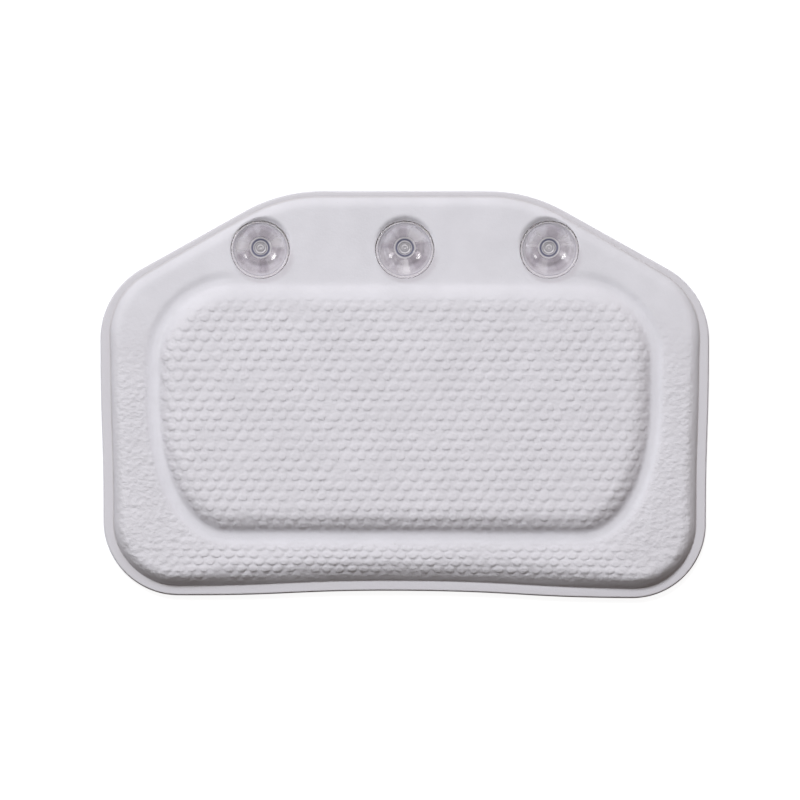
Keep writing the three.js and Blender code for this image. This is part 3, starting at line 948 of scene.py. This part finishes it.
# Cups.
def filleted(corners):
    """A profile with each corner of (radius, height, rounding) replaced by a short arc."""
    points = []
    for i, (r, z, rounding) in enumerate(corners):
        here = Vector((r, z))
        if rounding == 0 or i in (0, len(corners) - 1):
            points.append(here)
            continue
        before = Vector(corners[i - 1][:2]) - here
        after = Vector(corners[i + 1][:2]) - here
        reach = min(rounding, before.length * FILLET_LIMIT, after.length * FILLET_LIMIT)
        first = here + before.normalized() * reach
        last = here + after.normalized() * reach
        for step in range(FILLET_STEPS + 1):
            t = step / FILLET_STEPS
            points.append((1 - t) ** 2 * first + 2 * t * (1 - t) * here + t ** 2 * last)
    return points


def floor_relief(radius):
    """Turned rings on the hollow's floor: a nub in the middle and a ring round it."""
    pit = NUB_PIT * math.exp(-(radius / NUB_PIT_RADIUS) ** 2)
    nub = NUB_RISE * (1 - smoothstep(radius, *NUB_EDGE)) - pit
    return nub + FLOOR_RING_RISE * math.exp(-((radius - FLOOR_RING_RADIUS) / FLOOR_RING_HALF) ** 2)


def cup_profile():
    """From the lowest point of the head to the middle of the hollow's floor."""
    boss, neck, head = BOSS_DIAMETER / 2, NECK_DIAMETER / 2, HEAD_DIAMETER / 2
    radius, floor_radius = CUP_DIAMETER / 2, FLOOR_DIAMETER / 2
    floor = BOSS_FOOT + BOSS_HEIGHT + FLOOR_THICKNESS
    rim = floor + CUP_HOLLOW
    crown_height = HEAD_HEIGHT - HEAD_EDGE
    profile = []
    for step in range(CROWN_STEPS + 1):
        turn = step / CROWN_STEPS * math.pi / 2
        height = -HEAD_TOP - HEAD_EDGE - crown_height * math.cos(turn)
        profile.append((head * math.sin(turn), height, 0))

    def wall(from_r, from_z, to_r, to_z, count):
        steps = [k / count for k in range(count + 1)]
        return [
            (lerp(from_r, to_r, t), lerp(from_z, to_z, t) - CUP_BULGE * math.sin(t * math.pi), 0)
            for t in steps
        ]

    back = wall(boss, floor - FLOOR_THICKNESS, radius, rim - RIM_DEPTH, OUTER_WALL_STEPS)
    front = wall(floor_radius, floor, BEAD_RADIUS, rim - BEAD_STEP, INNER_WALL_STEPS)[::-1]
    back[0] = (*back[0][:2], EDGE_ROUND)
    back[-1] = (*back[-1][:2], RIM_ROUND)
    front[0] = (*front[0][:2], BEAD_ROUND)
    floor_radii = np.linspace(floor_radius - EDGE_ROUND, 0, FLOOR_STEPS).tolist()
    level = [(r, floor + floor_relief(r), 0) for r in floor_radii]
    return filleted([
        *profile,
        (head, -HEAD_TOP, EDGE_ROUND),
        (neck, -HEAD_TOP, NECK_ROUND),
        (neck, BOSS_FOOT, NECK_ROUND),
        (boss, BOSS_FOOT, EDGE_ROUND),
        *back,
        (radius, rim - RIM_BEVEL, EDGE_ROUND),
        (radius - RIM_BEVEL, rim, RIM_BEVEL),
        (BEAD_RADIUS + BEAD_FLAT, rim, EDGE_ROUND),
        *front,
        *level,
    ])


def ring_mark(radius, at, half):
    return np.clip(RING_FLAT - np.abs(radius - at) / half, 0, 1)


def cup_values(profile):
    """Cloudiness with painted highlights, painted dark rings, reach of the painted rays and painted shade
    round the hub, for each point of a cup's profile.
    """
    radius = np.array([point.x for point in profile])
    height = np.array([point.y for point in profile])
    inner = np.arange(len(profile)) >= np.argmax(height)
    hub = 1 - smoothstep(radius, *HUB_EDGE)
    # The collar and the bead get extra cloudiness that paints their highlights.
    bead = smoothstep(radius, BEAD_RADIUS + BEAD_EDGE[0], BEAD_RADIUS + BEAD_EDGE[1])
    collar = COLLAR_PAINTED_HIGHLIGHT * ring_mark(radius, COLLAR_RADIUS, COLLAR_HALF)
    haze_and_painted_highlights = np.where(inner, np.maximum(np.maximum(HUB_HAZE * hub, BEAD_HAZE_AND_HIGHLIGHT * bead), collar), 0)
    rings = HUB_TINT * hub
    # Painted dark lines where edges and turned rings show dark through the clear vinyl.
    for at, half, depth in PAINTED_CUP_RINGS:
        rings = np.maximum(rings, depth * ring_mark(radius, at, half))
    outer = 1 - smoothstep(radius, CONE_FADE, BEAD_RADIUS)
    cone = np.where(inner, smoothstep(radius, *CONE_START) * outer, 0)
    # Painted shade round the hub, fading out over the cone.
    near = 1 - smoothstep(radius, *SHADE_FADE)
    shade = np.where(inner, near * smoothstep(radius, *SHADE_START), 0)
    return haze_and_painted_highlights, np.where(inner, rings, 0), cone, shade


def cup_painted_rays(seed):
    """Painted light and dark sectors that stand in for streaks of reflected light, one value for each
    segment.
    """
    random = np.random.default_rng(seed)
    turn = np.arange(CUP_SEGMENTS) / CUP_SEGMENTS * 2 * math.pi
    rays = np.zeros(CUP_SEGMENTS)
    for waves, weight in RAY_WAVES:
        height = weight * random.uniform(*RAY_WEIGHTS)
        rays += height * np.sin(waves * turn + random.uniform(0, 2 * math.pi))
    return np.clip(RAY_GAIN * rays / np.abs(rays).max(), -1, 1)


def make_cup(name, x, seed):
    profile = cup_profile()
    haze_and_painted_highlights, rings, cone, shade = cup_values(profile)
    turns = [2 * math.pi * k / CUP_SEGMENTS for k in range(CUP_SEGMENTS)]
    points = [(0, 0, profile[0].y)]
    for point in profile[1:-1]:
        points += [(point.x * math.cos(turn), point.x * math.sin(turn), point.y) for turn in turns]
    points.append((0, 0, profile[-1].y))
    last = len(points) - 1
    faces = []
    for k in range(CUP_SEGMENTS):
        after = (k + 1) % CUP_SEGMENTS
        faces.append([0, 1 + after, 1 + k])
        for base in range(1, last - CUP_SEGMENTS, CUP_SEGMENTS):
            above = base + CUP_SEGMENTS
            faces.append([base + k, base + after, above + after, above + k])
        faces.append([last - CUP_SEGMENTS + k, last - CUP_SEGMENTS + after, last])
    place = Matrix.Translation((x, CUP_Y, SPOT_HEIGHT)) @ Matrix.Rotation(LEAN, 4, "X")
    cup = make_object(name, [tuple(place @ Vector(point)) for point in points], faces, CUP_SHARP)

    def spread(values):
        return np.concatenate([values[:1], np.repeat(values[1:-1], CUP_SEGMENTS), values[-1:]])

    rays = np.concatenate([[0], np.outer(cone[1:-1], cup_painted_rays(seed)).ravel(), [0]])
    # Bright rays get extra cloudiness as a painted highlight.
    set_values(cup, "haze_and_painted_highlights", spread(haze_and_painted_highlights) + CONE_HAZE + RAY_PAINTED_HIGHLIGHT * np.maximum(rays, 0))
    set_values(cup, "rings", spread(rings))
    # Painted light and shade: the rays, a darker cone and the shade round the hub.
    set_values(cup, "rays", np.clip(rays + 1 - spread(cone) - HUB_SHADE * spread(shade), -1, 1))
    return cup


# Materials.
class Shading:
    """A node tree with short ways to add to it."""

    def __init__(self, tree):
        self.nodes = tree.nodes
        self.links = tree.links

    def set(self, node, inputs):
        """Sets inputs, by name or place, to plain values, or links sockets to them."""
        for key, value in inputs.items():
            if isinstance(value, bpy.types.NodeSocket):
                self.links.new(value, node.inputs[key])
            else:
                node.inputs[key].default_value = value

    def add(self, kind, **inputs):
        node = self.nodes.new("ShaderNode" + kind)
        self.set(node, inputs)
        return node

    def value(self, name):
        """A value that is kept on the points of the mesh."""
        node = self.add("Attribute")
        node.attribute_name = name
        return node.outputs["Fac"]

    def noise(self, vector, scale, detail, roughness):
        node = self.add("TexNoise", Vector=vector, Scale=scale, Detail=detail, Roughness=roughness)
        return node.outputs["Fac"]

    def remap(self, source, start, end):
        """A value moved from one range to another."""
        node = self.add("MapRange", Value=source)
        names = ("From Min", "From Max", "To Min", "To Max")
        self.set(node, dict(zip(names, (*start, *end))))
        return node.outputs["Result"]

    def calculate(self, operation, *values):
        node = self.add("Math")
        node.operation = operation
        self.set(node, dict(enumerate(values)))
        return node.outputs[0]

    def mix(self, factor, first, second):
        """Two colours, or a socket and a colour, mixed by a factor."""
        node = self.add("Mix")
        node.data_type = "RGBA"
        ends = [(*end, 1) if isinstance(end, tuple) else end for end in (first, second)]
        self.set(node, dict(zip((0, 6, 7), (factor, *ends))))
        return node.outputs[2]

    def show(self, surface):
        output = next(node for node in self.nodes if node.type == "OUTPUT_MATERIAL")
        self.links.new(surface, output.inputs["Surface"])


def new_material(name):
    material = bpy.data.materials.new(name)
    material.use_nodes = True
    tree = Shading(material.node_tree)
    shader = next(node for node in tree.nodes if node.type == "BSDF_PRINCIPLED")
    return material, tree, shader


CUP_IOR = 1.36
CUP_SHADE = (0.93, 0.92, 0.925)
# Painted shade of the dark rays and the cone.
CUP_PAINTED_SHADE = (0.36, 0.325, 0.35)
CUP_LIGHT = (0.835, 0.818, 0.840)
# Colour of the painted dark rings.
CUP_PAINTED_RING = (0.10, 0.105, 0.19)
SKIN_LIGHT = (0.700, 0.697, 0.752)
SKIN_DEEP = (0.664, 0.661, 0.713)
SKIN_LIP = (0.625, 0.616, 0.660)
# Painted shade along the pressed seam.
SEAM_SHADE_COLOUR = (0.50, 0.48, 0.50)
SKIN_SPECK = (0.50, 0.48, 0.49)
# Painted shade over the embossed zones.
EMBOSS_PAINTED_SHADE = (0.615, 0.600, 0.645)
GRAIN_STRETCH = (1.0, 1.25, 1.0)
GRAIN_DEPTH = 0.00088
FRONT_GRAIN = (0.08, 1.0)
BACK_GRAIN = 0.3
PEBBLE_PART = -0.4
NOISE_MIDDLE = (0.3, 0.7)
# Painted shade in the foam's pores.
FOAM_PORE_SHADE = (0.62, 0.56, 0.40)
FOAM_LIGHT = (0.84, 0.79, 0.62)


def skin_colour(tree, vector):
    """Faint clouding with sparse specks."""
    clouds = tree.noise(vector, scale=55, detail=3, roughness=0.55)
    specks = tree.noise(vector, scale=520, detail=1, roughness=0.4)
    colour = tree.mix(tree.remap(clouds, (0.35, 0.65), (0, 1)), SKIN_DEEP, SKIN_LIGHT)
    return tree.mix(tree.remap(specks, (0.80, 0.84), (0, 0.5)), colour, SKIN_SPECK)


def skin_grain(tree, vector):
    """Height of the creased and pebbled grain."""
    stretched = tree.add("Mapping", Vector=vector, Scale=GRAIN_STRETCH).outputs["Vector"]
    creases = tree.noise(stretched, scale=300, detail=2.5, roughness=0.55)
    pebbles = tree.add("TexVoronoi", Vector=stretched)
    pebbles.feature = "SMOOTH_F1"
    tree.set(pebbles, {"Scale": 330, "Smoothness": 0.5})
    return tree.calculate("MULTIPLY_ADD", pebbles.outputs["Distance"], PEBBLE_PART, creases)


def skin_material(name, with_values):
    """Matt foamed vinyl. Values on the front's points tint it, paint shade along the seam and over the
    embossed zones, and set the strength of its grain.
    """
    material, tree, shader = new_material(name)
    vector = tree.add("TexCoord").outputs["Object"]
    colour = skin_colour(tree, vector)
    pores = tree.noise(vector, scale=900, detail=2, roughness=0.6)
    pored = tree.add("Bump", Height=pores, Distance=0.0003, Strength=0.25).outputs["Normal"]
    bump = tree.add("Bump", Height=skin_grain(tree, vector), Normal=pored, Distance=GRAIN_DEPTH)
    strength = BACK_GRAIN
    if with_values:
        colour = tree.mix(tree.value("lip"), colour, SKIN_LIP)
        # Painted shade along the pressed seam.
        colour = tree.mix(tree.value("seam"), colour, SEAM_SHADE_COLOUR)
        grain = tree.value("grain")
        # Painted shade over the embossed zones, where the grain shows.
        colour = tree.mix(tree.remap(grain, (0, 0.4), (0, 0.3)), colour, EMBOSS_PAINTED_SHADE)
        strength = tree.remap(grain, (0, 1), FRONT_GRAIN)
    tree.set(bump, {"Strength": strength})
    tree.set(shader, {
        "Base Color": colour,
        "Normal": bump.outputs["Normal"],
        "Roughness": tree.remap(pores, NOISE_MIDDLE, (0.52, 0.66)),
        "Specular IOR Level": 0.28,
    })
    return material


def foam_material():
    """Pale foam with open pores, with painted shade in their hollows."""
    material, tree, shader = new_material("pillow_foam")
    place = tree.add("TexCoord").outputs["Object"]
    pores = tree.add("TexVoronoi", Vector=place, Scale=700).outputs["Distance"]
    bump = tree.add("Bump", Height=pores, Distance=0.0004, Strength=0.6)
    # Painted shade, darkest where the pores' bump is lowest.
    tree.set(shader, {
        "Base Color": tree.mix(tree.remap(pores, (0, 0.6), (0, 1)), FOAM_PORE_SHADE, FOAM_LIGHT),
        "Normal": bump.outputs["Normal"],
        "Roughness": 0.95,
        "Specular IOR Level": 0.2,
    })
    return material


def cup_material():
    """Clear soft vinyl with painted dark rings, painted rays of light and shade and painted highlights in
    its cloudiness. Lamps and scattered light reach what is behind it.
    """
    material, tree, shader = new_material("clear_vinyl")
    place = tree.add("TexCoord").outputs["Object"]
    flow = tree.noise(place, scale=160, detail=3, roughness=0.6)
    bump = tree.add("Bump", Height=flow, Distance=0.0003, Strength=0.08)
    # Painted rays of light and shade, then painted dark rings.
    colour = tree.mix(tree.remap(tree.value("rays"), (-1, 1), (0, 1)), CUP_PAINTED_SHADE, CUP_LIGHT)
    tree.set(shader, {
        "Base Color": tree.mix(tree.value("rings"), colour, CUP_PAINTED_RING),
        "Normal": bump.outputs["Normal"],
        "Roughness": tree.remap(flow, NOISE_MIDDLE, (0.10, 0.16)),
        "Transmission Weight": tree.remap(tree.value("haze_and_painted_highlights"), (0, 1), (1, 0)),
        "IOR": CUP_IOR,
    })
    path = tree.add("LightPath").outputs
    shown = shader.outputs["BSDF"]
    for ray in ("Is Diffuse Ray", "Is Shadow Ray"):
        through = tree.add("BsdfTransparent", Color=(*CUP_SHADE, 1)).outputs["BSDF"]
        mix = tree.add("MixShader")
        tree.set(mix, {0: path[ray], 1: shown, 2: through})
        shown = mix.outputs["Shader"]
    tree.show(shown)
    return material


# Stage.
CAMERA_HEIGHT = 1.5
CAMERA_X = -0.0024
CAMERA_Y = -0.0031
FOCUS_HEIGHT = 0.006
VIEW_WIDTH = 0.407
SENSOR = 36.0
KEY_AZIMUTH = 20.0
KEY_ELEVATION = 58.0
LAMP_DISTANCE = 4.0
KEY_SIZE = 1.2
KEY_POWER = 157.0
KEY_COLOUR = (0.962, 0.99, 1.008)
# Name, azimuth, elevation, size and power of each.
GLINTS = (
    ("glint_left", 85.0, 48.0, 1.2, 90.0),
    ("glint_right", -85.0, 48.0, 0.9, 35.0),
)
FILL_ABOVE = (0.285, 0.209, 0.162)
FILL_BELOW = (0.015, 0.011, 0.008)
HORIZON_COLOUR = (1.0, 1.0, 1.0)
CEILING_COLOUR = (0.32, 0.32, 0.34)
CEILING_RANGE = (0.25, 0.7)
FLOOR_GLOW = 0.93
FLOOR_TONE = 0.22
FLOOR_SIZE = 6.0


def seen_ray(tree):
    """A socket that is 1 for camera, glossy and transmission rays that have met nothing matt."""
    path = tree.add("LightPath").outputs
    shown = path["Is Camera Ray"]
    for name in ("Is Glossy Ray", "Is Transmission Ray"):
        shown = tree.calculate("MAXIMUM", shown, path[name])
    direct = tree.calculate("LESS_THAN", path["Diffuse Depth"], 0.5)
    return tree.calculate("MULTIPLY", shown, direct)


def make_world():
    """Pale at the horizon and greyer overhead for what is seen, with more fill from the cup edge's side."""
    world = bpy.data.worlds.new("studio")
    world.use_nodes = True
    tree = Shading(world.node_tree)
    split = tree.add("SeparateXYZ", Vector=tree.add("TexCoord").outputs["Generated"]).outputs
    sky = tree.mix(tree.remap(split["Z"], CEILING_RANGE, (0, 1)), HORIZON_COLOUR, CEILING_COLOUR)
    fill = tree.mix(tree.remap(split["Y"], (-1, 1), (0, 1)), FILL_BELOW, FILL_ABOVE)
    tree.set(tree.nodes["Background"], {"Color": tree.mix(seen_ray(tree), fill, sky)})
    bpy.context.scene.world = world


def make_floor():
    half = FLOOR_SIZE / 2
    mesh = bpy.data.meshes.new("floor")
    corners = [(-half, -half, 0), (half, -half, 0), (half, half, 0), (-half, half, 0)]
    mesh.from_pydata(corners, [], [[0, 1, 2, 3]])
    floor = bpy.data.objects.new("floor", mesh)
    bpy.context.scene.collection.objects.link(floor)
    material, tree, shader = new_material("floor")
    tree.nodes.remove(shader)
    matt = tree.add("BsdfDiffuse", Color=(FLOOR_TONE, FLOOR_TONE, FLOOR_TONE, 1))
    glow = tree.add("Emission", Strength=tree.calculate("MULTIPLY", seen_ray(tree), FLOOR_GLOW))
    both = tree.add("AddShader")
    tree.set(both, {0: matt.outputs["BSDF"], 1: glow.outputs["Emission"]})
    tree.show(both.outputs["Shader"])
    mesh.materials.append(material)


def lamp_direction(azimuth, elevation):
    """Unit vector to a lamp, with its azimuth measured from +Y towards -X."""
    turn, lift = math.radians(azimuth), math.radians(elevation)
    return Vector((-math.sin(turn) * math.cos(lift), math.cos(turn) * math.cos(lift), math.sin(lift)))


def make_lamp(name, azimuth, elevation, size, power):
    """A round soft box that faces the middle of the scene and isn't seen through the cups."""
    light = bpy.data.lights.new(name, "AREA")
    light.shape = "DISK"
    light.size = size
    light.energy = power
    lamp = bpy.data.objects.new(name, light)
    away = lamp_direction(azimuth, elevation)
    lamp.location = away * LAMP_DISTANCE
    lamp.rotation_euler = away.to_track_quat("Z", "Y").to_euler()
    lamp.visible_transmission = False
    bpy.context.scene.collection.objects.link(lamp)
    return lamp


def make_key():
    key = make_lamp("key", KEY_AZIMUTH, KEY_ELEVATION, KEY_SIZE, KEY_POWER)
    key.data.color = KEY_COLOUR
    key.visible_glossy = False


def make_glints():
    """Soft boxes that only glossy surfaces show."""
    for settings in GLINTS:
        make_lamp(*settings).visible_diffuse = False


def make_camera():
    lens = bpy.data.cameras.new("camera")
    lens.sensor_width = SENSOR
    lens.lens = SENSOR * (CAMERA_HEIGHT - FOCUS_HEIGHT) / VIEW_WIDTH
    camera = bpy.data.objects.new("camera", lens)
    camera.location = (CAMERA_X, CAMERA_Y, CAMERA_HEIGHT)
    bpy.context.scene.collection.objects.link(camera)
    bpy.context.scene.camera = camera


bpy.context.scene.view_settings.view_transform = "Standard"
make_camera()
make_world()
make_key()
make_glints()
make_floor()

front = make_front()
front.data.materials.append(skin_material("pillow_front_vinyl", True))
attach(front, "pillow")
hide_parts("front_skin")

back = make_back()
back.data.materials.append(skin_material("pillow_back_vinyl", False))
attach(back, "pillow")
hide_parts("back_skin")

foam = make_foam()
foam.data.materials.append(foam_material())
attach(foam, "pillow")
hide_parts("foam_core")

clear_vinyl = cup_material()
for seed, (side, cup_x) in enumerate(CUP_PLACES.items()):
    cup = make_cup("cup_" + side, cup_x, seed)
    cup.data.materials.append(clear_vinyl)
    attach(cup, "cup_" + side)
    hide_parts("suction_cup_" + side)
